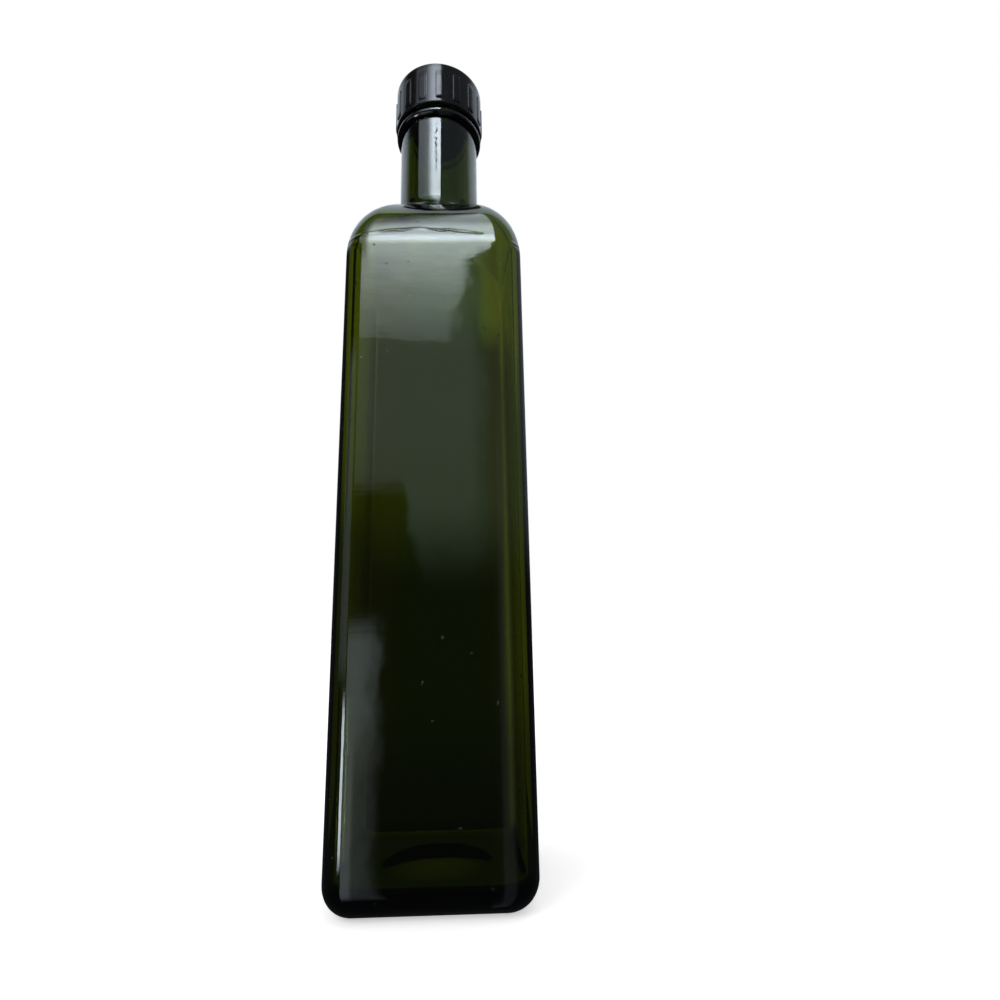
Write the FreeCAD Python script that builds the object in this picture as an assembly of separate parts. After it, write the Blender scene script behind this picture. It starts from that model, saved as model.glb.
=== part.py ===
import FreeCAD, Part
import math
import os

# Square glass oil bottle closed by a ribbed plastic screw cap with a loose sealing disc.
# Millimetres, +Z up, origin at the centre of the base on the surface that the bottle stands on.

# Square body of the bottle
body_side = 57.0               # across two opposite flat sides
corner_radius = 8.8            # upright corners, carried on over the mitres of the shoulder
heel_radius = 7.7              # edge between the sides and the base
side_wall = 3.0                # glass of the sides and the shoulder
shoulder_start = 190.4         # height at which the flat sides end
shoulder_radius = 30.2         # arc of the shoulder, seen square on to any side
shoulder_slope = 20.0          # least fall of the shoulder where it comes near the neck, in degrees

# Base of the bottle
bearing_width = 4.5            # flat ring that the bottle stands on, at the middle of a side
push_up_depth = 2.5            # shallow dome under the base
floor_glass = 3.5              # glass between the dome and the oil
inner_heel_radius = 4.0        # edge between the inside floor and the inside walls

# Neck of the bottle
bottle_height = 271.5          # to the sealing lip, without the cap
neck_radius = 14.3
neck_fillet = 9.0              # outside flare from the shoulder into the neck
bore_radius = 10.3
bore_fillet = 12.0             # inside flare from the shoulder into the bore

# Finish: the top of the neck that the cap screws on to
finish_height = 15.0           # from the bead to the lip
finish_radius = 14.0           # glass between the turns of the thread
thread_depth = 0.85            # room kept for the thread's ridge
lip_bevel = 0.7                # inner and outer edge of the lip
bead_reach = 1.6               # ring of glass under the cap, proud of the neck
bead_height = 3.8

# Screw cap
cap_wall = 1.05                # skirt between the ribs
cap_top = 1.6                  # flat top of the cap
cap_edge_bevel = 0.8           # outer edge of the top
rim_bevel = 0.4                # outer edge of the open rim
rim_gap = 0.8                  # between the closed cap's rim and the bead
thread_clearance = 0.3         # between the thread's ridge and the skirt
rib_count = 16
rib_start_angle = 5.0          # where the closed cap's first rib stands, from +X, in degrees
rib_width = 2.4
rib_reach = 0.35               # how far a rib stands out of the skirt
rib_top_margin = 4.4           # plain band above the ribs
rib_rim_margin = 1.8           # plain band below the ribs
rib_end_slope = 0.6            # height over which a rib's ends run out

# Sealing disc in the cap, and the ring that keeps it from falling out
liner_thickness = 1.6
liner_clearance = 0.3          # round the disc's edge
retainer_reach = 0.7           # how far the ring stands in from the skirt
retainer_height = 1.0
retainer_gap = 0.3             # between the disc and the ring

# Heights and radii that follow from these
half_side = body_side / 2
inner_half_side = half_side - side_wall
inner_shoulder_radius = shoulder_radius - side_wall
inner_corner_radius = corner_radius - side_wall
floor_height = push_up_depth + floor_glass
push_up_rim_radius = half_side - heel_radius - bearing_width
bead_top = bottle_height - finish_height
bead_bottom = bead_top - bead_height
cap_inner_radius = finish_radius + thread_depth + thread_clearance
skirt_radius = cap_inner_radius + cap_wall
liner_radius = cap_inner_radius - liner_clearance
rim_level = bead_top + rim_gap
ceiling_level = bottle_height + liner_thickness
cap_top_level = ceiling_level + cap_top
lip_level = bottle_height - lip_bevel
retainer_top = bottle_height - retainer_gap
retainer_bottom = retainer_top - retainer_height

# A rounding is held just inside the corner that it runs round
FILLET_SHARE = 0.97
# The flat that closes the shoulder is held to this share of the room hidden inside the neck
CROWN_SHARE = 0.8
# How close a point has to lie to a plane or a radius to count as on it
ON_FACE = 0.001

UP = FreeCAD.Vector(0, 0, 1)
ORIGIN = FreeCAD.Vector(0, 0, 0)


def point(across, height):
    """A point of a profile in the XZ plane."""
    return FreeCAD.Vector(across, 0, height)


def line(start, end):
    """A straight edge between two points."""
    return Part.LineSegment(start, end).toShape()


def outline(points):
    """Straight edges through points in order."""
    return [line(start, end) for start, end in zip(points, points[1:])]


def turned(edges):
    """A closed profile turned all the way round the bottle's axis."""
    return Part.Face(Part.Wire(edges)).revolve(ORIGIN, UP, 360)


def along(edge, count=7):
    """Points spread evenly along an edge."""
    step = (edge.LastParameter - edge.FirstParameter) / (count - 1)
    return [edge.valueAt(edge.FirstParameter + step * number) for number in range(count)]


def edges_at_level(shape, level):
    """Edges that lie wholly at one height."""
    return [edge for edge in shape.Edges
            if all(abs(spot.z - level) < ON_FACE for spot in along(edge))]


def edges_round_neck(shape, radius, top):
    """Edges that run round the axis at one radius, below the height top."""
    found = []
    for edge in shape.Edges:
        spots = along(edge)
        on_radius = all(abs(math.hypot(spot.x, spot.y) - radius) < ON_FACE for spot in spots)
        upright = abs(spots[0].x - spots[-1].x) + abs(spots[0].y - spots[-1].y) < ON_FACE
        if on_radius and not upright and max(spot.z for spot in spots) < top - ON_FACE:
            found.append(edge)
    return found


def mitre_edges(shape):
    """The four upright corner edges and the four shoulder mitres above them."""
    found = []
    for edge in shape.Edges:
        spots = along(edge)
        diagonal = all(abs(abs(spot.x) - abs(spot.y)) < ON_FACE for spot in spots)
        if diagonal and abs(spots[0].z - spots[-1].z) > ON_FACE:
            found.append(edge)
    return found


def side_face(half, low, arc_radius, neck):
    """Front outline of the square body: base, upright sides and shoulder, with a flat hidden in the neck."""
    centre = half - arc_radius
    sweep = math.radians(90 - shoulder_slope)
    foot = point(half, low)
    side_end = point(half, shoulder_start)
    arc_middle = point(centre + arc_radius * math.cos(sweep / 2),
                       shoulder_start + arc_radius * math.sin(sweep / 2))
    arc_end = point(centre + arc_radius * math.cos(sweep),
                    shoulder_start + arc_radius * math.sin(sweep))
    crown = CROWN_SHARE * min(neck / 2, arc_end.x)
    rise = (arc_end.x - crown) * math.tan(math.radians(shoulder_slope))
    top = point(crown, arc_end.z + rise)
    mirror = lambda spot: point(-spot.x, spot.z)
    return Part.Face(Part.Wire([
        line(mirror(foot), foot),
        line(foot, side_end),
        Part.Arc(side_end, arc_middle, arc_end).toShape(),
        line(arc_end, top),
        line(top, mirror(top)),
        line(mirror(top), mirror(arc_end)),
        Part.Arc(mirror(arc_end), mirror(arc_middle), mirror(side_end)).toShape(),
        line(mirror(side_end), mirror(foot)),
    ]))


def square_vessel(half, low, arc_radius, corner, heel, neck):
    """Square body whose sides curve in over the shoulder and close inside the neck."""
    slab = side_face(half, low, arc_radius, neck).extrude(FreeCAD.Vector(0, 2 * half, 0))
    slab.translate(FreeCAD.Vector(0, -half, 0))
    cross_slab = slab.copy()
    cross_slab.rotate(ORIGIN, UP, 90)
    body = slab.common(cross_slab).removeSplitter()
    body = body.makeFillet(corner, mitre_edges(body))
    return body.makeFillet(min(heel, FILLET_SHARE * corner), edges_at_level(body, low))


def neck_blank():
    """Solid neck with the bead and the plain finish above it, from inside the shoulder to the lip."""
    bead_foot = point(neck_radius, bead_bottom)
    bead_crest = point(neck_radius + bead_reach, (bead_top + bead_bottom) / 2)
    finish_foot = point(finish_radius, bead_top)
    bead = Part.Arc(bead_foot, bead_crest, finish_foot).toShape()
    return turned([bead] + outline([
        finish_foot, point(finish_radius, lip_level), point(finish_radius - lip_bevel, bottle_height),
        point(0, bottle_height), point(0, shoulder_start), point(neck_radius, shoulder_start), bead_foot,
    ]))


def bore_core():
    """Solid that opens the neck: a straight bore, bevelled outwards at the lip."""
    foot = point(bore_radius, shoulder_start)
    return turned(outline([
        foot, point(bore_radius, lip_level), point(bore_radius + lip_bevel, bottle_height),
        point(0, bottle_height), point(0, shoulder_start), foot,
    ]))


def push_up():
    """Ball whose lower cap dents the base into a shallow dome."""
    ball_radius = (push_up_rim_radius ** 2 + push_up_depth ** 2) / (2 * push_up_depth)
    return Part.makeSphere(ball_radius, FreeCAD.Vector(0, 0, push_up_depth - ball_radius))


def oil_space():
    """The hollow of the bottle: body, shoulder and the bore up through the lip."""
    hollow = square_vessel(inner_half_side, floor_height, inner_shoulder_radius,
                           inner_corner_radius, inner_heel_radius, bore_radius)
    hollow = hollow.fuse(bore_core()).removeSplitter()
    return hollow.makeFillet(bore_fillet, edges_round_neck(hollow, bore_radius, lip_level))


def glass_bottle():
    """One piece of glass: square body, mitred shoulder, neck, bead, finish and lip."""
    body = square_vessel(half_side, 0, shoulder_radius, corner_radius, heel_radius, neck_radius)
    body = body.fuse(neck_blank()).removeSplitter()
    body = body.makeFillet(neck_fillet, edges_round_neck(body, neck_radius, bead_bottom))
    return body.cut(push_up()).cut(oil_space())


def cap_shell():
    """Skirt, flat top and disc retainer of the cap, turned as one wall."""
    top_middle = point(0, cap_top_level)
    return turned(outline([
        top_middle, point(0, ceiling_level),
        point(cap_inner_radius, ceiling_level), point(cap_inner_radius, retainer_top),
        point(cap_inner_radius - retainer_reach, (retainer_top + retainer_bottom) / 2),
        point(cap_inner_radius, retainer_bottom), point(cap_inner_radius, rim_level),
        point(skirt_radius - rim_bevel, rim_level), point(skirt_radius, rim_level + rim_bevel),
        point(skirt_radius, cap_top_level - cap_edge_bevel),
        point(skirt_radius - cap_edge_bevel, cap_top_level), top_middle,
    ]))


def grip_rib():
    """One upright rib on the +X side, rooted in the skirt, with ends that run out."""
    root_radius = skirt_radius - cap_wall / 2
    crest_radius = skirt_radius + rib_reach
    low = rim_level + rib_rim_margin
    high = cap_top_level - rib_top_margin
    band = turned(outline([point(root_radius, low), point(skirt_radius, low),
                           point(crest_radius, low + rib_end_slope),
                           point(crest_radius, high - rib_end_slope),
                           point(skirt_radius, high), point(root_radius, high),
                           point(root_radius, low)]))
    corner = FreeCAD.Vector(0, -rib_width / 2, low)
    return band.common(Part.makeBox(crest_radius + rib_width, rib_width, high - low, corner))


def screw_cap():
    """Moulded cap: the turned shell with its ring of grip ribs."""
    first_rib = grip_rib()
    ribs = []
    for number in range(rib_count):
        rib = first_rib.copy()
        rib.rotate(ORIGIN, UP, rib_start_angle + 360 / rib_count * number)
        ribs.append(rib)
    return cap_shell().multiFuse(ribs).removeSplitter()


def cap_liner():
    """Soft disc squeezed between the lip and the top of the cap."""
    return Part.makeCylinder(liner_radius, liner_thickness, FreeCAD.Vector(0, 0, bottle_height))


os.makedirs("parts", exist_ok=True)
for build in (glass_bottle, screw_cap, cap_liner):
    build().exportStep("parts/" + build.__name__ + ".step")
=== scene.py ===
import math
from collections import namedtuple

import bpy
import numpy as np
from mathutils import Matrix, Vector


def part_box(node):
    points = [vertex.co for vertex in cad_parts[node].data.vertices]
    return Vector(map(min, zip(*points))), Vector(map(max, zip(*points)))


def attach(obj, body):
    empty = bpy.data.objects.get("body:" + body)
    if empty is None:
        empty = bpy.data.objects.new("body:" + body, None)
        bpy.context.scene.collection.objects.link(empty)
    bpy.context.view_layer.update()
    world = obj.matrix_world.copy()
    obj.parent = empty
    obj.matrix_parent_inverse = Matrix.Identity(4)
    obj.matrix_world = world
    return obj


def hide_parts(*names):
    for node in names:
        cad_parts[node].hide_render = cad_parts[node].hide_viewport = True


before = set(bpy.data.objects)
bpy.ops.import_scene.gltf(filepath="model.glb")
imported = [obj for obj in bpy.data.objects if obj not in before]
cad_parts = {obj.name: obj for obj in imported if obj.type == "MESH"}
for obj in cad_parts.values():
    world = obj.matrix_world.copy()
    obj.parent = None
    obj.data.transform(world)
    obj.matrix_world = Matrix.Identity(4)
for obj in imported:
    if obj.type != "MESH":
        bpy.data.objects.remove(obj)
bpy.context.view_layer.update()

# Square olive-green glass oil bottle with a ribbed black screw cap and a white foam liner.
# Sizes are in millimetres, as they would be on a drawing, and MM turns them into metres.
MM = 0.001
ORIGIN = (0.0, 0.0, 0.0)
UP = (0.0, 0.0, 1.0)

_, bottle_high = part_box("glass_bottle")
cap_low, cap_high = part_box("screw_cap")
liner_low, liner_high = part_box("cap_liner")

# Glass body: sides, shoulder and base
HALF_SIDE = bottle_high.x / MM
SIDE_WALL = 3.0
CORNER_RADIUS = 8.8
HEEL_RADIUS = 7.7
SHOULDER_START = 190.4
SHOULDER_RADIUS = 30.2
PUSH_UP_RADIUS = 16.3
PUSH_UP_DEPTH = 2.5
FLOOR_HEIGHT = 6.0
INNER_HEEL_RADIUS = 4.0
FLOOR_ROUND_RADIUS = 8.0

# Glass neck: flare, bead, finish and lip
NECK_RADIUS = 14.3
NECK_FLARE = 9.0
BORE_RADIUS = 10.3
BORE_FLARE = 12.0
LIP_LEVEL = bottle_high.z / MM
LIP_ROUNDING = 1.2
FINISH_RADIUS = 14.0
BEAD_TOP = LIP_LEVEL - 15.0
BEAD_HEIGHT = 3.8
BEAD_REACH = 1.6

# Screw thread: the ridge on the glass and the ridge inside the cap share one right-handed helix
THREAD_LEAD = 4.0
THREAD_TURNS = 1.6
THREAD_START = BEAD_TOP + 3.4
THREAD_HALF_WIDTH = 0.95
GLASS_THREAD_DEPTH = 0.85
CAP_THREAD_DEPTH = 0.75
THREAD_FULLNESS = 0.75
THREAD_RUN_OUT = math.radians(35)

# Screw cap
CAP_TOP = cap_high.z / MM
CAP_RIM = cap_low.z / MM
CAP_INNER_RADIUS = 15.15
SKIRT_RADIUS = 16.2
CAP_EDGE_RADIUS = 1.2
RIM_ROUNDING = 0.35
CEILING = liner_high.z / MM
RETAINER_TOP = LIP_LEVEL - 0.3
RETAINER_HEIGHT = 1.0
RETAINER_REACH = 0.7
RIB_COUNT = 16
RIB_START_ANGLE = 5.0
RIB_COLUMNS = 6
COLUMNS_PER_RIB = 15
RIB_REACH = 0.33
RIB_LOW = CAP_RIM + 1.8
RIB_HIGH = CAP_TOP - 4.4
CAP_BEVEL = 0.12

# Liner
LINER_RADIUS = liner_high.x / MM
LINER_EDGE = 0.25
LIP_MARK_DEPTH = 0.12

# Flaws of the moulded glass: seam on the neck, seeds, and a fold that wanders between two heights
FLAW_RELIEF = 0.25
SEAM_HALF_WIDTH = 0.5
SEAM_LOW = 227.0
SEAM_HIGH = 252.0
SEAM_RUN_OUT = 6.0
SPECK_SIZE = 0.9
SEED_RADIUS = 0.48
SEED_SPACING = 8.0
FOLD_LOW = 187.5
FOLD_HIGH = 201.5
FOLD_WANDER = 30.0
FOLD_LENGTH = 14.0
FOLD_HALF_WIDTH = 0.7

# Skin of the glass: size and relief of its waves and of its level streaks, and size of its hazy patches
WAVE_SIZE = 20.0
WAVE_RELIEF = 0.09
STREAK_SIZE = 8.0
STREAK_SQUEEZE = 8
STREAK_RELIEF = 0.006
HAZE_SIZE = 25.0

# Skins of the plastics: patches of handling, moulded grain and the cells of the foam
HANDLING_SIZE = 4.0
GRAIN_SIZE = 0.6
CELL_SIZE = 0.35

# How finely the pieces are divided round their axis, and how much closer the glass is at its corners
GLASS_COLUMNS = 192
LINER_COLUMNS = 96
CORNER_CROWDING = 0.125

# Vertices closer together than the first of these are one, what is closer to a wall than the second counts
# as on it, and the third is the rounding that a vertex's place may carry
MERGE_DISTANCE = 0.002
ON_WALL = 0.01
HAIR = 0.0005


# Modelling helpers

def deselect_all():
    """Leaves nothing selected, so that an operator acts on the new piece alone."""
    if bpy.context.object and bpy.context.object.mode != "OBJECT":
        bpy.ops.object.mode_set(mode="OBJECT")
    bpy.ops.object.select_all(action="DESELECT")


def start_profile(name, across, height):
    """A mesh of one vertex in the XZ plane, in edit mode, ready to be drawn out into a profile."""
    deselect_all()
    bpy.ops.mesh.primitive_plane_add(size=MM, location=ORIGIN)
    piece = bpy.context.object
    piece.name = name
    piece.data.name = name
    bpy.ops.object.mode_set(mode="EDIT")
    bpy.ops.mesh.select_mode(type="VERT")
    bpy.ops.mesh.merge(type="CENTER")
    bpy.ops.transform.translate(value=(across * MM, 0, height * MM))
    piece["pen"] = (across, height)
    return piece


def draw_line(piece, across, height, steps=1):
    """Draws the profile on in a straight line, in equal steps."""
    start_across, start_height = piece["pen"]
    step = ((across - start_across) * MM / steps, 0, (height - start_height) * MM / steps)
    for _ in range(steps):
        bpy.ops.mesh.extrude_vertices_move(TRANSFORM_OT_translate={"value": step})
    piece["pen"] = (across, height)


def draw_arc(piece, centre_across, centre_height, turn, steps):
    """Draws the profile on along an arc: a positive turn, in degrees, runs counter-clockwise."""
    bpy.ops.mesh.spin(steps=steps, angle=math.radians(turn), axis=(0, 1, 0),
                      center=(centre_across * MM, 0, centre_height * MM))
    across, height = piece["pen"]
    cosine = math.cos(math.radians(turn))
    sine = math.sin(math.radians(turn))
    offset_across = across - centre_across
    offset_height = height - centre_height
    piece["pen"] = (centre_across + offset_across * cosine - offset_height * sine,
                    centre_height + offset_across * sine + offset_height * cosine)


def turn_profile(piece, columns):
    """Turns the drawn profile once round the axis and closes its seam and poles."""
    bpy.ops.mesh.select_all(action="SELECT")
    bpy.ops.mesh.spin(steps=columns, angle=2 * math.pi, axis=UP, center=ORIGIN)
    bpy.ops.mesh.select_all(action="SELECT")
    bpy.ops.mesh.remove_doubles(threshold=MERGE_DISTANCE * MM)
    bpy.ops.mesh.normals_make_consistent(inside=False)
    bpy.ops.object.mode_set(mode="OBJECT")
    del piece["pen"]


def reshape(piece, rule):
    """Moves each vertex of a turned piece by a rule of its radius, angle and height, in millimetres."""
    places = np.empty(len(piece.data.vertices) * 3)
    piece.data.vertices.foreach_get("co", places)
    for place in places.reshape(-1, 3):
        across, depth, height = place / MM
        radius, angle, height = rule(math.hypot(across, depth), math.atan2(depth, across), height)
        place[:] = (radius * math.cos(angle) * MM, radius * math.sin(angle) * MM, height * MM)
    piece.data.vertices.foreach_set("co", places)
    piece.data.update()


def join(pieces):
    """Joins pieces into the first one and merges the vertices that they share."""
    deselect_all()
    for piece in pieces:
        piece.select_set(True)
    bpy.context.view_layer.objects.active = pieces[0]
    bpy.ops.object.join()
    bpy.ops.object.mode_set(mode="EDIT")
    bpy.ops.mesh.select_all(action="SELECT")
    bpy.ops.mesh.remove_doubles(threshold=MERGE_DISTANCE * MM)
    bpy.ops.mesh.normals_make_consistent(inside=False)
    bpy.ops.object.mode_set(mode="OBJECT")
    return pieces[0]


def apply_modifier(piece, kind, **settings):
    """Adds a modifier with its settings and applies it."""
    deselect_all()
    piece.select_set(True)
    bpy.context.view_layer.objects.active = piece
    modifier = piece.modifiers.new(kind.title(), kind)
    for name, value in settings.items():
        setattr(modifier, name, value)
    bpy.ops.object.modifier_apply(modifier=modifier.name)


def smooth(piece, angle):
    """Shades a piece smooth except across edges sharper than an angle, in degrees."""
    deselect_all()
    piece.select_set(True)
    bpy.context.view_layer.objects.active = piece
    bpy.ops.object.shade_smooth_by_angle(angle=math.radians(angle))


# Glass bottle: a skin of the mould outside, a skin of blown glass inside, joined at the lip

Skin = namedtuple("Skin", "half corner arc neck flare")
OUTSIDE = Skin(HALF_SIDE, CORNER_RADIUS, SHOULDER_RADIUS, NECK_RADIUS, NECK_FLARE)
INSIDE = Skin(HALF_SIDE - SIDE_WALL, CORNER_RADIUS - SIDE_WALL, SHOULDER_RADIUS - SIDE_WALL,
              BORE_RADIUS, BORE_FLARE)
# Share of a rounded corner's radius that its diagonal falls short of the square
CORNER_SHORTFALL = 1 - math.sqrt(0.5)


def square_radius(angle, half, corner):
    """Distance from the axis to a rounded square, along an angle between 0 and 45 degrees from a side."""
    inset = half - corner
    if half * math.tan(angle) <= inset:
        return half / math.cos(angle)
    cosine = math.cos(angle)
    sine = math.sin(angle)
    across = inset * (cosine - sine)
    return inset * (cosine + sine) + math.sqrt(max(corner ** 2 - across ** 2, 0))


def shoulder_half(skin, height):
    """Half the shoulder's width at a height, square on to a side."""
    rise = max(height - SHOULDER_START, 0)
    return skin.half - skin.arc + math.sqrt(max(skin.arc ** 2 - rise ** 2, 0))


def mitre_rule(skin):
    """Corner radius of the shoulder by height, from a ball rolled up the mitre between two sides."""
    steepest = math.radians(85)
    lean = np.linspace(0, steepest, 200)
    ball_path = skin.arc - skin.corner
    spread = np.sqrt(2 * np.cos(lean) ** 2 + 4 * np.sin(lean) ** 2)
    diagonal = skin.half - skin.arc + ball_path * np.cos(lean) + skin.corner * np.cos(lean) / spread
    height = SHOULDER_START + ball_path * np.sin(lean) + 2 * skin.corner * np.sin(lean) / spread
    half = np.array([shoulder_half(skin, spot) for spot in height])
    return height, (half - diagonal) / CORNER_SHORTFALL


def shoulder_radius_at(skin, mitre, angle, height):
    """Distance from the axis to the shoulder, along an angle and at a height."""
    half = shoulder_half(skin, height)
    corner = min(float(np.interp(height, *mitre)), half)
    return square_radius(angle, half, corner)


def flare_of_column(skin, mitre, angle):
    """Where the flare leaves the shoulder at an angle: its height, its slope and its centre's height."""
    step = 0.01
    low = SHOULDER_START
    high = SHOULDER_START + skin.arc
    # Halves the stretch of shoulder that holds the place until nothing of it is left
    for _ in range(40):
        height = (low + high) / 2
        radius = shoulder_radius_at(skin, mitre, angle, height)
        fall = shoulder_radius_at(skin, mitre, angle, height - step) - radius
        normal = math.atan2(fall, step)
        if radius + skin.flare * math.cos(normal) > skin.neck + skin.flare:
            low = height
        else:
            high = height
    return height, normal, height + skin.flare * math.sin(normal)


def base_corner(skin, radius, round_radius, heel):
    """Corner radius under the heel: offset inwards along the heel, then easing into a round."""
    flat = skin.half - heel
    offset_corner = skin.corner - (skin.half - radius)
    if radius >= flat:
        return offset_corner
    share = max(radius - round_radius, 0) / (flat - round_radius)
    return share * (skin.corner - heel) + (1 - share) * radius


def square_mould(skin, round_radius, heel, neck_top):
    """Rule that carries a turned skin to the square mould's shape."""
    mitre = mitre_rule(skin)
    middle_height, middle_normal, middle_centre = flare_of_column(skin, mitre, 0)
    columns = {}

    def rule(radius, angle, height):
        angle += CORNER_CROWDING * math.sin(4 * angle)
        quarter = math.pi / 2
        folded = abs((angle + quarter / 2) % quarter - quarter / 2)
        key = round(folded, 6)
        if key not in columns:
            columns[key] = flare_of_column(skin, mitre, folded)
        flare_height, flare_normal, flare_centre = columns[key]
        if height > neck_top or radius < round_radius:
            return radius, angle, height
        if radius < skin.half - HAIR and height < SHOULDER_START / 2:
            corner = base_corner(skin, radius, round_radius, heel)
            return square_radius(folded, radius, corner), angle, height
        if height <= SHOULDER_START:
            return square_radius(folded, skin.half, skin.corner), angle, height
        if height <= middle_height + HAIR:
            share = (height - SHOULDER_START) / (middle_height - SHOULDER_START)
            height = SHOULDER_START + share * (flare_height - SHOULDER_START)
            return shoulder_radius_at(skin, mitre, folded, height), angle, height
        if height < middle_centre - HAIR:
            turn = math.asin((middle_centre - height) / skin.flare) / middle_normal * flare_normal
            return (skin.neck + skin.flare * (1 - math.cos(turn)), angle,
                    flare_centre - skin.flare * math.sin(turn))
        share = (height - middle_centre) / (neck_top - middle_centre)
        return radius, angle, flare_centre + share * (neck_top - flare_centre)

    return rule


def draw_shoulder_and_neck(piece, skin, neck_top, neck_steps):
    """Draws a skin's profile from the top of its side over the shoulder and flare and up the neck."""
    height, normal, centre = flare_of_column(skin, mitre_rule(skin), 0)
    draw_arc(piece, skin.half - skin.arc, SHOULDER_START, math.degrees(normal), 30)
    draw_arc(piece, skin.neck + skin.flare, centre, -math.degrees(normal), 16)
    draw_line(piece, skin.neck, neck_top, neck_steps)


def thread_ridge(angle, height, start, depth):
    """Height of a right-handed thread's ridge at a place on the finish, running out at both ends."""
    ridge = 0.0
    for turn in range(math.ceil(THREAD_TURNS)):
        wound = angle % (2 * math.pi) + 2 * math.pi * turn
        ends = min(wound, THREAD_TURNS * 2 * math.pi - wound) / THREAD_RUN_OUT
        offset = (height - start - THREAD_LEAD * wound / (2 * math.pi)) / THREAD_HALF_WIDTH
        if ends > 0 and abs(offset) < 1:
            ridge = max(ridge, depth * min(ends, 1) * (1 - offset ** 2) ** THREAD_FULLNESS)
    return ridge


def outer_skin():
    """Outside of the glass, from the middle of the dome under the base to the crown of the lip."""
    ball = (PUSH_UP_RADIUS ** 2 + PUSH_UP_DEPTH ** 2) / (2 * PUSH_UP_DEPTH)
    bead_bottom = BEAD_TOP - BEAD_HEIGHT
    skin = start_profile("bottle_glass", 0, PUSH_UP_DEPTH)
    draw_arc(skin, 0, PUSH_UP_DEPTH - ball, -math.degrees(math.asin(PUSH_UP_RADIUS / ball)), 10)
    draw_line(skin, HALF_SIDE - HEEL_RADIUS, 0, 4)
    draw_arc(skin, HALF_SIDE - HEEL_RADIUS, HEEL_RADIUS, 90, 14)
    draw_line(skin, HALF_SIDE, SHOULDER_START, 32)
    draw_shoulder_and_neck(skin, OUTSIDE, bead_bottom, 24)
    draw_bead(skin)
    draw_line(skin, FINISH_RADIUS, LIP_LEVEL - LIP_ROUNDING, 56)
    draw_arc(skin, FINISH_RADIUS - LIP_ROUNDING, LIP_LEVEL - LIP_ROUNDING, 90, 8)
    draw_line(skin, (FINISH_RADIUS + BORE_RADIUS) / 2, LIP_LEVEL)
    turn_profile(skin, GLASS_COLUMNS)
    reshape(skin, square_mould(OUTSIDE, PUSH_UP_RADIUS, HEEL_RADIUS, bead_bottom))

    def cut_thread(radius, angle, height):
        if height < BEAD_TOP or radius < FINISH_RADIUS - ON_WALL:
            return radius, angle, height
        return radius + thread_ridge(angle, height, THREAD_START, GLASS_THREAD_DEPTH), angle, height

    reshape(skin, cut_thread)
    return skin


def draw_bead(skin):
    """Draws the round bead under the cap, from the neck out to its crest and in to the finish."""
    foot = Vector((NECK_RADIUS, BEAD_TOP - BEAD_HEIGHT))
    crest = Vector((NECK_RADIUS + BEAD_REACH, BEAD_TOP - BEAD_HEIGHT / 2))
    head = Vector((FINISH_RADIUS, BEAD_TOP))
    chord = head - foot
    rise = crest - foot
    twice_area = 2 * (chord.x * rise.y - chord.y * rise.x)
    centre = foot + Vector((chord.length_squared * rise.y - rise.length_squared * chord.y,
                            rise.length_squared * chord.x - chord.length_squared * rise.x)) / twice_area
    turn = math.degrees((head - centre).angle(foot - centre))
    draw_arc(skin, centre.x, centre.y, turn, 16)


def inner_skin():
    """Inside of the glass, from the middle of the floor to the crown of the lip."""
    floor_radius = INSIDE.half - INNER_HEEL_RADIUS
    skin = start_profile("bottle_inside", 0, FLOOR_HEIGHT)
    draw_line(skin, floor_radius, FLOOR_HEIGHT, 10)
    draw_arc(skin, floor_radius, FLOOR_HEIGHT + INNER_HEEL_RADIUS, 90, 12)
    draw_line(skin, INSIDE.half, SHOULDER_START, 32)
    draw_shoulder_and_neck(skin, INSIDE, LIP_LEVEL - LIP_ROUNDING, 24)
    draw_arc(skin, BORE_RADIUS + LIP_ROUNDING, LIP_LEVEL - LIP_ROUNDING, -90, 8)
    draw_line(skin, (FINISH_RADIUS + BORE_RADIUS) / 2, LIP_LEVEL)
    turn_profile(skin, GLASS_COLUMNS)
    reshape(skin, square_mould(INSIDE, FLOOR_ROUND_RADIUS, INNER_HEEL_RADIUS, LIP_LEVEL - LIP_ROUNDING))
    return skin


def bottle_glass():
    """One closed mesh of glass: outer skin, lip and inner skin."""
    glass = join([outer_skin(), inner_skin()])
    smooth(glass, 60)
    return glass


# Screw cap

def cap_profile(cap):
    """Draws the wall of the cap: top, outer edge, skirt, rim, threaded inside, retainer and ceiling."""
    draw_line(cap, SKIRT_RADIUS - CAP_EDGE_RADIUS, CAP_TOP, 6)
    draw_arc(cap, SKIRT_RADIUS - CAP_EDGE_RADIUS, CAP_TOP - CAP_EDGE_RADIUS, -90, 8)
    draw_line(cap, SKIRT_RADIUS, RIB_HIGH, 3)
    draw_line(cap, SKIRT_RADIUS, RIB_LOW, 6)
    draw_line(cap, SKIRT_RADIUS, CAP_RIM + RIM_ROUNDING, 2)
    draw_arc(cap, SKIRT_RADIUS - RIM_ROUNDING, CAP_RIM + RIM_ROUNDING, -90, 4)
    draw_line(cap, CAP_INNER_RADIUS, CAP_RIM)
    draw_line(cap, CAP_INNER_RADIUS, RETAINER_TOP - RETAINER_HEIGHT, 54)
    draw_line(cap, CAP_INNER_RADIUS - RETAINER_REACH, RETAINER_TOP - RETAINER_HEIGHT / 2, 2)
    draw_line(cap, CAP_INNER_RADIUS, RETAINER_TOP, 2)
    draw_line(cap, CAP_INNER_RADIUS, CEILING, 2)
    draw_line(cap, 0, CEILING, 6)


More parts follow.
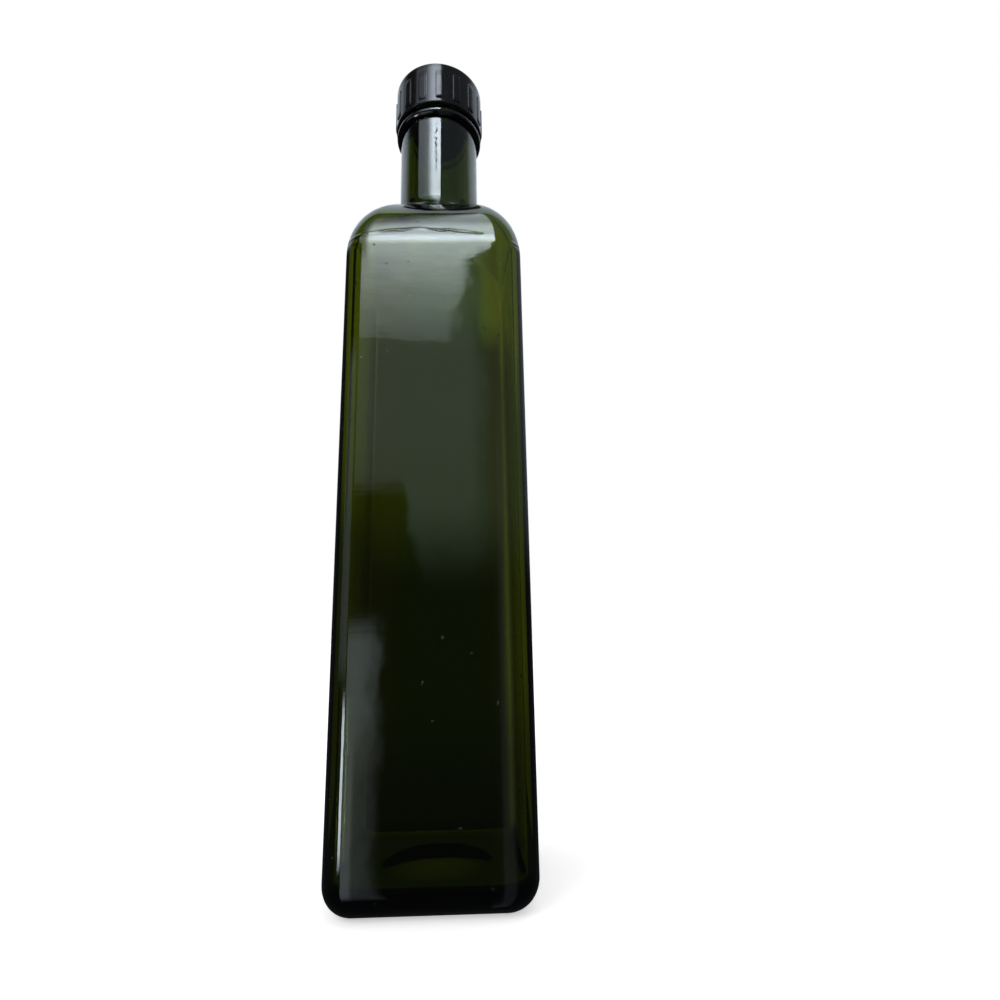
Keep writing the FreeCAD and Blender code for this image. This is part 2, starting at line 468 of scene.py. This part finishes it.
def raise_ribs(cap):
    """Pulls the ring of grip ribs out of the skirt."""
    half_width = math.pi / RIB_COUNT * RIB_COLUMNS / COLUMNS_PER_RIB
    pitch = 2 * math.pi / RIB_COUNT
    bpy.ops.object.mode_set(mode="EDIT")
    bpy.ops.mesh.select_mode(type="FACE")
    bpy.ops.mesh.select_all(action="DESELECT")
    bpy.ops.object.mode_set(mode="OBJECT")
    for face in cap.data.polygons:
        centre = face.center / MM
        angle = math.atan2(centre.y, centre.x) - math.radians(RIB_START_ANGLE)
        off_rib = abs((angle + pitch / 2) % pitch - pitch / 2)
        on_skirt = math.hypot(centre.x, centre.y) > SKIRT_RADIUS - ON_WALL
        face.select = on_skirt and RIB_LOW < centre.z < RIB_HIGH and off_rib < half_width
    bpy.ops.object.mode_set(mode="EDIT")
    bpy.ops.mesh.extrude_region_shrink_fatten(TRANSFORM_OT_shrink_fatten={"value": RIB_REACH * MM})
    bpy.ops.object.mode_set(mode="OBJECT")


def ribbed_cap():
    """Moulded cap with its ribs outside and its thread inside."""
    cap = start_profile("ribbed_cap", 0, CAP_TOP)
    cap_profile(cap)
    turn_profile(cap, RIB_COUNT * COLUMNS_PER_RIB)
    column = 2 * math.pi / RIB_COUNT / COLUMNS_PER_RIB
    first_edge = math.radians(RIB_START_ANGLE) - column * RIB_COLUMNS / 2

    def cut_thread(radius, angle, height):
        on_wall = abs(radius - CAP_INNER_RADIUS) < ON_WALL and height < RETAINER_TOP - RETAINER_HEIGHT
        if on_wall:
            radius -= thread_ridge(angle, height, THREAD_START - THREAD_LEAD / 2, CAP_THREAD_DEPTH)
        return radius, angle + first_edge % column, height

    reshape(cap, cut_thread)
    raise_ribs(cap)
    apply_modifier(cap, "BEVEL", width=CAP_BEVEL * MM, segments=3, limit_method="ANGLE",
                   angle_limit=math.radians(40))
    smooth(cap, 50)
    return cap


# Liner

def foam_liner():
    """Die-cut disc with soft edges and the mark that the lip presses into it."""
    low = liner_low.z / MM
    lip_inner = BORE_RADIUS + LIP_ROUNDING
    lip_outer = FINISH_RADIUS - LIP_ROUNDING
    liner = start_profile("foam_liner", 0, low)
    draw_line(liner, lip_inner - LINER_EDGE, low, 6)
    draw_line(liner, lip_inner, low + LIP_MARK_DEPTH, 2)
    draw_line(liner, lip_outer, low + LIP_MARK_DEPTH, 2)
    draw_line(liner, lip_outer + LINER_EDGE, low, 2)
    draw_line(liner, LINER_RADIUS - LINER_EDGE, low, 2)
    draw_arc(liner, LINER_RADIUS - LINER_EDGE, low + LINER_EDGE, 90, 4)
    draw_line(liner, LINER_RADIUS, CEILING - LINER_EDGE, 2)
    draw_arc(liner, LINER_RADIUS - LINER_EDGE, CEILING - LINER_EDGE, 90, 4)
    draw_line(liner, 0, CEILING, 8)
    turn_profile(liner, LINER_COLUMNS)
    smooth(liner, 50)
    return liner


# Materials

SMOOTH = {"interpolation_type": "SMOOTHSTEP"}


def linear(hex_colour, alpha=1.0):
    """An sRGB hex colour as the linear colour that a shader takes."""
    channels = [int(hex_colour[start:start + 2], 16) / 255 for start in (1, 3, 5)]
    return tuple(c / 12.92 if c <= 0.04045 else ((c + 0.055) / 1.055) ** 2.4 for c in channels) + (alpha,)


def add_node(tree, kind, settings=None, sockets=None):
    """Adds a node with its settings. A socket takes a value or a link, from a node or one of its outputs."""
    node = tree.nodes.new("ShaderNode" + kind)
    for name, value in (settings or {}).items():
        setattr(node, name, value)
    for name, source in (sockets or {}).items():
        if isinstance(source, bpy.types.Node):
            source = next(output for output in source.outputs if output.enabled)
        if isinstance(source, bpy.types.NodeSocket):
            tree.links.new(source, node.inputs[name])
        else:
            node.inputs[name].default_value = source
    return node


def faded(tree, level, *fades):
    """A level that fades across each value: where it is out, where it is full, and any share left."""
    for value, out, full, *left in fades:
        share = add_node(tree, "MapRange", SMOOTH,
                         {"Value": value, "From Min": out, "From Max": full, "To Min": sum(left)})
        level = add_node(tree, "Math", {"operation": "MULTIPLY"}, {0: level, 1: share})
    return level


def stepped(tree, level, *steps):
    """A level that gains an amount across each value: where the gain begins and ends, and the amount."""
    for value, begin, end, amount in steps:
        rise = add_node(tree, "MapRange", SMOOTH,
                        {"Value": value, "From Min": begin, "From Max": end, "To Max": amount})
        level = add_node(tree, "Math", {"operation": "ADD"}, {0: level, 1: rise})
    return level


def object_places(tree):
    """Places on a piece, in millimetres: the whole vector and its parts by name."""
    coordinates = add_node(tree, "TexCoord")
    places = add_node(tree, "VectorMath", {"operation": "SCALE"},
                      {0: coordinates.outputs["Object"], "Scale": 1 / MM})
    parts = add_node(tree, "SeparateXYZ", sockets={"Vector": places})
    return places, parts.outputs


def new_material(name):
    """An empty node material and its tree."""
    material = bpy.data.materials.new(name)
    material.use_nodes = True
    material.node_tree.nodes.clear()
    return material, material.node_tree


def put_on(piece, material):
    """Makes a material the piece's only one."""
    piece.data.materials.clear()
    piece.data.materials.append(material)


def seam_specks(tree, places, axes):
    """Rough specks on the mould's seam, up the front and back of the neck, on its outside only."""
    specks = add_node(tree, "TexNoise", sockets={"Vector": places, "Scale": 1 / SPECK_SIZE, "Detail": 1.0})
    off_seam = add_node(tree, "Math", {"operation": "ABSOLUTE"}, {0: axes["X"]})
    off_middle = add_node(tree, "Math", {"operation": "ABSOLUTE"}, {0: axes["Y"]})
    return faded(tree, 0.6, (specks, 0.48, 0.7), (off_seam, SEAM_HALF_WIDTH, 0.1),
                 (off_middle, BORE_RADIUS + 1, NECK_RADIUS - 1),
                 (axes["Z"], SEAM_LOW, SEAM_LOW + SEAM_RUN_OUT),
                 (axes["Z"], SEAM_HIGH, SEAM_HIGH - SEAM_RUN_OUT))


def seeds(tree, places):
    """Pin-head bubbles scattered through the glass, where they touch its skin."""
    spots = add_node(tree, "TexVoronoi", sockets={"Vector": places, "Scale": 1 / SEED_SPACING})
    return faded(tree, 1.0, (spots, SEED_RADIUS / SEED_SPACING, 0.0))


def chill_fold(tree, places, axes):
    """A wandering, broken fold round the shoulder, left where the hot glass first met the mould."""
    wander = add_node(tree, "TexNoise", sockets={"Vector": places, "Scale": 1 / FOLD_WANDER, "Detail": 3.0})
    level = add_node(tree, "MapRange", sockets={"Value": wander, "To Min": FOLD_LOW, "To Max": FOLD_HIGH})
    above = add_node(tree, "Math", {"operation": "SUBTRACT"}, {0: axes["Z"], 1: level})
    off_fold = add_node(tree, "Math", {"operation": "ABSOLUTE"}, {0: above})
    breaks = add_node(tree, "TexNoise", sockets={"Vector": places, "Scale": 1 / FOLD_LENGTH, "Detail": 1.0})
    return faded(tree, 0.8, (off_fold, FOLD_HALF_WIDTH, 0.0), (breaks, 0.38, 0.56))


def green_container_glass():
    """Moulded soda-lime glass: clear to look through, dark olive where it is thick."""
    material, tree = new_material("green_container_glass")
    places, axes = object_places(tree)
    haze = add_node(tree, "TexNoise", sockets={"Vector": places, "Scale": 1 / HAZE_SIZE, "Detail": 4.0})
    roughness = add_node(tree, "MapRange", sockets={"Value": haze, "From Min": 0.45, "From Max": 0.75,
                                                    "To Min": 0.005, "To Max": 0.04})
    waves = add_node(tree, "TexNoise", sockets={"Vector": places, "Scale": 1 / WAVE_SIZE, "Detail": 3.0})
    squeezed = add_node(tree, "Mapping", sockets={"Vector": places, "Scale": (1, 1, STREAK_SQUEEZE)})
    streaks = add_node(tree, "TexNoise",
                       sockets={"Vector": squeezed, "Scale": 1 / STREAK_SIZE, "Detail": 2.0})
    flaws = seeds(tree, places)
    for flaw in (seam_specks(tree, places, axes), chill_fold(tree, places, axes)):
        flaws = add_node(tree, "Math", {"operation": "MAXIMUM"}, {0: flaws, 1: flaw})
    swell = add_node(tree, "Bump", sockets={"Strength": 1.0, "Distance": WAVE_RELIEF * MM, "Height": waves})
    skin = add_node(tree, "Bump", sockets={"Strength": 1.0, "Distance": STREAK_RELIEF * MM,
                                           "Height": streaks, "Normal": swell})
    flawed = add_node(tree, "Bump", sockets={"Strength": 1.0, "Distance": FLAW_RELIEF * MM,
                                             "Height": flaws, "Normal": skin})
    glass = add_node(tree, "BsdfPrincipled",
                     sockets={"Base Color": linear("#ffffff"), "Roughness": roughness, "IOR": 1.52,
                              "Transmission Weight": 1.0, "Normal": flawed})
    colour = add_node(tree, "VolumeAbsorption", sockets={"Color": linear("#c8d051"), "Density": 900.0})
    add_node(tree, "OutputMaterial", sockets={"Surface": glass, "Volume": colour})
    return material


def black_moulded_polypropylene():
    """Glossy moulded plastic: a soft sheen broken by handling."""
    material, tree = new_material("black_moulded_polypropylene")
    places, _ = object_places(tree)
    handling = add_node(tree, "TexNoise",
                        sockets={"Vector": places, "Scale": 1 / HANDLING_SIZE, "Detail": 6.0})
    roughness = add_node(tree, "MapRange", sockets={"Value": handling, "From Min": 0.3, "From Max": 0.7,
                                                    "To Min": 0.1, "To Max": 0.17})
    colour = add_node(tree, "Mix", {"data_type": "RGBA"},
                      {"Factor": handling, "A": linear("#0b0b0d"), "B": linear("#141416")})
    grain = add_node(tree, "TexNoise", sockets={"Vector": places, "Scale": 1 / GRAIN_SIZE, "Detail": 3.0})
    bump = add_node(tree, "Bump", sockets={"Strength": 0.05, "Distance": 0.02 * MM, "Height": grain})
    plastic = add_node(tree, "BsdfPrincipled",
                       sockets={"Base Color": colour, "Roughness": roughness, "IOR": 1.49,
                                "Specular IOR Level": 0.25, "Normal": bump})
    add_node(tree, "OutputMaterial", sockets={"Surface": plastic})
    return material


def white_foamed_polyethylene():
    """Closed-cell foam sheet: dull white with fine cells."""
    material, tree = new_material("white_foamed_polyethylene")
    places, _ = object_places(tree)
    cells = add_node(tree, "TexVoronoi", sockets={"Vector": places, "Scale": 1 / CELL_SIZE})
    colour = add_node(tree, "Mix", {"data_type": "RGBA"},
                      {"Factor": cells, "A": linear("#e2e0da"), "B": linear("#efeeea")})
    bump = add_node(tree, "Bump", sockets={"Strength": 0.4, "Distance": 0.05 * MM, "Height": cells})
    foam = add_node(tree, "BsdfPrincipled",
                    sockets={"Base Color": colour, "Roughness": 0.7, "IOR": 1.5, "Normal": bump})
    add_node(tree, "OutputMaterial", sockets={"Surface": foam})
    return material


# Pieces on their bodies

bottle = bottle_glass()
put_on(bottle, green_container_glass())
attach(bottle, "bottle")
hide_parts("glass_bottle")

cap = ribbed_cap()
put_on(cap, black_moulded_polypropylene())
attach(cap, "cap")
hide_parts("screw_cap")

liner = foam_liner()
put_on(liner, white_foamed_polyethylene())
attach(liner, "liner")
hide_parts("cap_liner")


# Stage: pale floor, soft lamp, a glowing card with a painted shadow behind the bottle, and surroundings with
# painted reflections

def mirrored_path(tree, path):
    """1 for light that has been mirrored on its way, and 0 for light seen straight or through glass."""
    return add_node(tree, "Math", {"operation": "GREATER_THAN"}, {0: path.outputs["Glossy Depth"], 1: 0.5})


def pale_floor():
    """Wide matt floor with the bottle's soft shadow, a painted shade where it is seen under the glass, and
    not mirrored by it.
    """
    deselect_all()
    bpy.ops.mesh.primitive_circle_add(vertices=96, radius=3000 * MM, fill_type="NGON")
    floor = bpy.context.object
    floor.name = "floor"
    material, tree = new_material("pale_floor")
    path = add_node(tree, "LightPath")
    to_camera = path.outputs["Is Camera Ray"]
    lift_level = add_node(tree, "Math", {"operation": "MULTIPLY"}, {0: to_camera, 1: 0.5})
    lift = add_node(tree, "Emission", sockets={"Strength": lift_level})
    paint = add_node(tree, "BsdfDiffuse", sockets={"Color": linear("#f2f2f2")})
    white = add_node(tree, "AddShader", sockets={0: paint, 1: lift})
    # Painted shade: seen through the glass, the floor near the bottle's axis is a dim glow instead of white
    places, _ = object_places(tree)
    off_axis = add_node(tree, "VectorMath", {"operation": "LENGTH"}, {0: places})
    under = faded(tree, path.outputs["Is Transmission Ray"], (off_axis, 100.0, 50.0))
    dim = add_node(tree, "Emission", sockets={"Strength": 0.14})
    shaded = add_node(tree, "MixShader", sockets={0: under, 1: white, 2: dim})
    clear = add_node(tree, "BsdfTransparent")
    seen = add_node(tree, "MixShader", sockets={0: mirrored_path(tree, path), 1: shaded, 2: clear})
    add_node(tree, "OutputMaterial", sockets={"Surface": seen})
    put_on(floor, material)


def painted_shadow_card():
    """Glowing card close behind the bottle, seen only through the glass: a painted shadow, darkest in the
    middle and low down, with painted light at its sides.
    """
    deselect_all()
    size = 300 * MM
    behind = 30 * MM
    bpy.ops.mesh.primitive_plane_add(size=size, location=ORIGIN)
    card = bpy.context.object
    card.name = "painted_shadow_card"
    bpy.ops.object.mode_set(mode="EDIT")
    bpy.ops.transform.rotate(value=math.radians(-90), orient_axis="X", center_override=ORIGIN)
    bpy.ops.transform.translate(value=(0, behind, size / 2))
    bpy.ops.object.mode_set(mode="OBJECT")
    material, tree = new_material("painted_shadow_card")
    _, axes = object_places(tree)
    across = axes["X"]
    height = axes["Z"]
    # Painted shadow: the glow is weakest in the middle and low down, and stronger at the sides and high up
    middle = stepped(tree, 0.02, (height, 10.0, 50.0, 0.02), (height, 85.0, 125.0, 0.12),
                     (height, 175.0, 215.0, 0.19))
    right = stepped(tree, 0.2, (height, 20.0, 60.0, 0.2), (height, 160.0, 210.0, 0.5))
    right = faded(tree, right, (across, 19.0, 30.0))
    upper_right = faded(tree, 0.6, (height, 172.0, 198.0), (across, 8.0, 18.0))
    left = stepped(tree, 0.15, (height, 100.0, 150.0, 0.45), (height, 150.0, 200.0, 0.25))
    left = faded(tree, left, (across, -29.0, -35.0))
    level = middle
    for patch in (right, upper_right, left):
        level = add_node(tree, "Math", {"operation": "MAXIMUM"}, {0: level, 1: patch})
    off_middle = add_node(tree, "Math", {"operation": "ABSOLUTE"}, {0: across})
    # Painted light: green in the middle, as if it had already come through the glass, and yellower at the
    # sides
    colour = add_node(tree, "Mix", {"data_type": "RGBA"},
                      {"Factor": faded(tree, 1.0, (off_middle, 12.0, 22.0)),
                       "A": linear("#dcff59"), "B": linear("#fff859")})
    light = add_node(tree, "Emission", sockets={"Color": colour, "Strength": level})
    add_node(tree, "OutputMaterial", sockets={"Surface": light})
    put_on(card, material)
    card.visible_camera = False
    card.visible_diffuse = False
    card.visible_glossy = False
    card.visible_shadow = False


def soft_lamp():
    """Wide lamp in front, high on the left, that gives the matt surfaces their form."""
    place = Vector((-700, -800, 900)) * MM
    lamp = bpy.data.lights.new("soft_lamp", "AREA")
    lamp.shape = "DISK"
    lamp.size = 700 * MM
    lamp.energy = 4.0
    holder = bpy.data.objects.new("soft_lamp", lamp)
    aim = Vector((0, 0, LIP_LEVEL / 2 * MM)) - place
    holder.matrix_world = Matrix.Translation(place) @ aim.to_track_quat("-Z", "Y").to_matrix().to_4x4()
    holder.visible_glossy = False
    holder.visible_transmission = False
    bpy.context.scene.collection.objects.link(holder)


def painted_window_reflection(tree, bearing, elevation):
    """Painted reflection of a tall bright pane in front, seen only in mirrored light: brightest high up,
    fading to the left, with a slanted right edge.
    """
    pane = stepped(tree, 0.0, (elevation, 27.2, 28.0, 0.9), (elevation, 28.0, 32.0, 1.3),
                   (elevation, 31.0, 36.0, 3.6), (elevation, 35.0, 44.0, 10.0))
    left_fade = add_node(tree, "Math", {"operation": "MAXIMUM"},
                         {0: stepped(tree, 0.1, (bearing, -33.0, -8.0, 0.9)),
                          1: faded(tree, 1.0, (elevation, 37.0, 32.0))})
    level = add_node(tree, "Math", {"operation": "MULTIPLY"}, {0: pane, 1: left_fade})
    from_left_end = stepped(tree, bearing, (elevation, 36.0, 40.0, 18.0))
    from_right_edge = stepped(tree, bearing, (elevation, 27.0, 34.0, -1.8), (elevation, 34.0, 42.0, -11.0))
    return faded(tree, level, (elevation, 52.0, 45.0, 0.5), (elevation, 75.0, 58.0, 0.3),
                 (from_left_end, -44.0, -38.0), (from_right_edge, -2.8, -4.4))


def painted_wall_reflection(tree, bearing, elevation):
    """Painted reflection of a dim wall below the bright painted pane, cut off low on the left by a painted
    dark shape, and of its grey end further round.
    """
    level = stepped(tree, 0.0, (elevation, 3.0, 13.0, 0.5), (elevation, 13.0, 22.0, 0.12))
    slanted = add_node(tree, "Math", {"operation": "MULTIPLY_ADD"}, {0: elevation, 1: 0.25, 2: bearing})
    clear = add_node(tree, "Math", {"operation": "MAXIMUM"},
                     {0: faded(tree, 1.0, (slanted, -5.7, -4.5)),
                      1: faded(tree, 1.0, (elevation, 12.0, 15.0))})
    uncovered = add_node(tree, "Math", {"operation": "MULTIPLY"}, {0: level, 1: clear})
    front = faded(tree, uncovered, (bearing, 1.5, -2.0, 0.3), (bearing, -45.0, -35.0))
    end = faded(tree, 0.5, (bearing, -83.0, -77.0), (bearing, -45.0, -51.0),
                (elevation, -6.0, -2.0), (elevation, 28.0, 24.0))
    return add_node(tree, "Math", {"operation": "ADD"}, {0: front, 1: end})


def painted_table_reflection(tree, bearing, elevation):
    """Painted reflection of a pale table top low on the left, with painted shade where it comes near the
    bottle and a painted highlight along its edge.
    """
    # Painted shade on the table's reflection where it comes near the bottle
    dull = faded(tree, 0.7, (elevation, -6.0, -14.0), (bearing, -20.0, -12.0))
    level = add_node(tree, "Math", {"operation": "SUBTRACT"}, {0: 1.15, 1: dull})
    top = faded(tree, level, (bearing, -45.1, -42.9), (bearing, -9.6, -11.8),
                (elevation, -45.0, -23.0), (elevation, 2.0, -2.0))
    # Painted highlight: a bright edge of the table
    edge = faded(tree, 12.0, (bearing, -58.0, -56.0), (bearing, -46.0, -48.0),
                 (elevation, -21.0, -17.0), (elevation, -5.0, -9.0))
    return add_node(tree, "Math", {"operation": "ADD"}, {0: top, 1: edge})


def surroundings():
    """White all round, but what the bottle mirrors from low down is a painted reflection of a dim room,
    which gives it dark edges.

    Bearing is 0 on the camera's side and less than 0 on its left. Both angles are in degrees.
    """
    world = bpy.data.worlds.new("surroundings")
    bpy.context.scene.world = world
    world.use_nodes = True
    tree = world.node_tree
    tree.nodes.clear()
    path = add_node(tree, "LightPath")
    coordinates = add_node(tree, "TexCoord")
    direction = add_node(tree, "SeparateXYZ", sockets={"Vector": coordinates.outputs["Generated"]}).outputs
    front = add_node(tree, "Math", {"operation": "MULTIPLY"}, {0: direction["Y"], 1: -1.0})
    turn = add_node(tree, "Math", {"operation": "ARCTAN2"}, {0: direction["X"], 1: front})
    bearing = add_node(tree, "Math", {"operation": "DEGREES"}, {0: turn})
    climb = add_node(tree, "Math", {"operation": "ARCSINE"}, {0: direction["Z"]})
    elevation = add_node(tree, "Math", {"operation": "DEGREES"}, {0: climb})
    off_front = add_node(tree, "Math", {"operation": "ABSOLUTE"}, {0: bearing})
    background = faded(tree, 1.0, (elevation, 34.0, 40.0), (off_front, 88.0, 118.0))
    # Painted reflection of a dim patch low on the right
    painted_right_reflection = faded(tree, 0.13, (bearing, 0.0, 4.0), (bearing, 45.0, 25.0), (elevation, 25.0, 15.0, 0.3))
    # The room is painted reflection only: a faint glow with the painted pane, wall, table and right patch
    # added to it
    room = 0.03
    for patch in (painted_window_reflection(tree, bearing, elevation), painted_wall_reflection(tree, bearing, elevation),
                  painted_table_reflection(tree, bearing, elevation), painted_right_reflection):
        room = add_node(tree, "Math", {"operation": "ADD"}, {0: room, 1: patch})
    all_round = add_node(tree, "Math", {"operation": "MAXIMUM"}, {0: room, 1: background})
    # Only the near wall mirrors the painted room: light that has crossed more glass than that finds it dark
    near_side = add_node(tree, "Math", {"operation": "LESS_THAN"},
                         {0: path.outputs["Transmission Depth"], 1: 2.5})
    reflected = add_node(tree, "Math", {"operation": "MULTIPLY"}, {0: all_round, 1: near_side})
    straight = add_node(tree, "Math", {"operation": "MAXIMUM"},
                        {0: path.outputs["Is Camera Ray"], 1: path.outputs["Is Transmission Ray"]})
    lit = stepped(tree, 0.75, (straight, 0.0, 1.0, 0.25))
    mirrored = mirrored_path(tree, path)
    seen = add_node(tree, "Mix", {"data_type": "FLOAT"}, {"Factor": mirrored, "A": lit, "B": reflected})
    # Painted reflections are tinted a cool blue-white
    colour = add_node(tree, "Mix", {"data_type": "RGBA"},
                      {"Factor": mirrored, "A": linear("#ffffff"), "B": linear("#e6f2ff")})
    sky = add_node(tree, "Background", sockets={"Color": colour, "Strength": seen})
    add_node(tree, "OutputWorld", sockets={"Surface": sky})


def photo_camera():
    """Camera low in front of the bottle, looking up it with a wide lens. Its three angles are in radians."""
    place = Vector((15.66, -190.4, 72.3)) * MM
    yaw = 0.026
    pitch = 0.213
    roll = -0.021
    focal_share = 0.58
    forward = Vector((math.sin(yaw) * math.cos(pitch), math.cos(yaw) * math.cos(pitch), math.sin(pitch)))
    level_right = Vector((math.cos(yaw), -math.sin(yaw), 0))
    level_up = level_right.cross(forward)
    right = math.cos(roll) * level_right + math.sin(roll) * level_up
    up = math.cos(roll) * level_up - math.sin(roll) * level_right
    lens = bpy.data.cameras.new("camera")
    lens.sensor_width = 36.0
    lens.lens = focal_share * lens.sensor_width
    lens.clip_start = 1 * MM
    camera = bpy.data.objects.new("camera", lens)
    turned = Matrix((right, up, -forward)).transposed().to_4x4()
    camera.matrix_world = Matrix.Translation(place) @ turned
    bpy.context.scene.collection.objects.link(camera)
    bpy.context.scene.camera = camera


pale_floor()
painted_shadow_card()
soft_lamp()
surroundings()
photo_camera()
bpy.context.scene.view_settings.view_transform = "Standard"
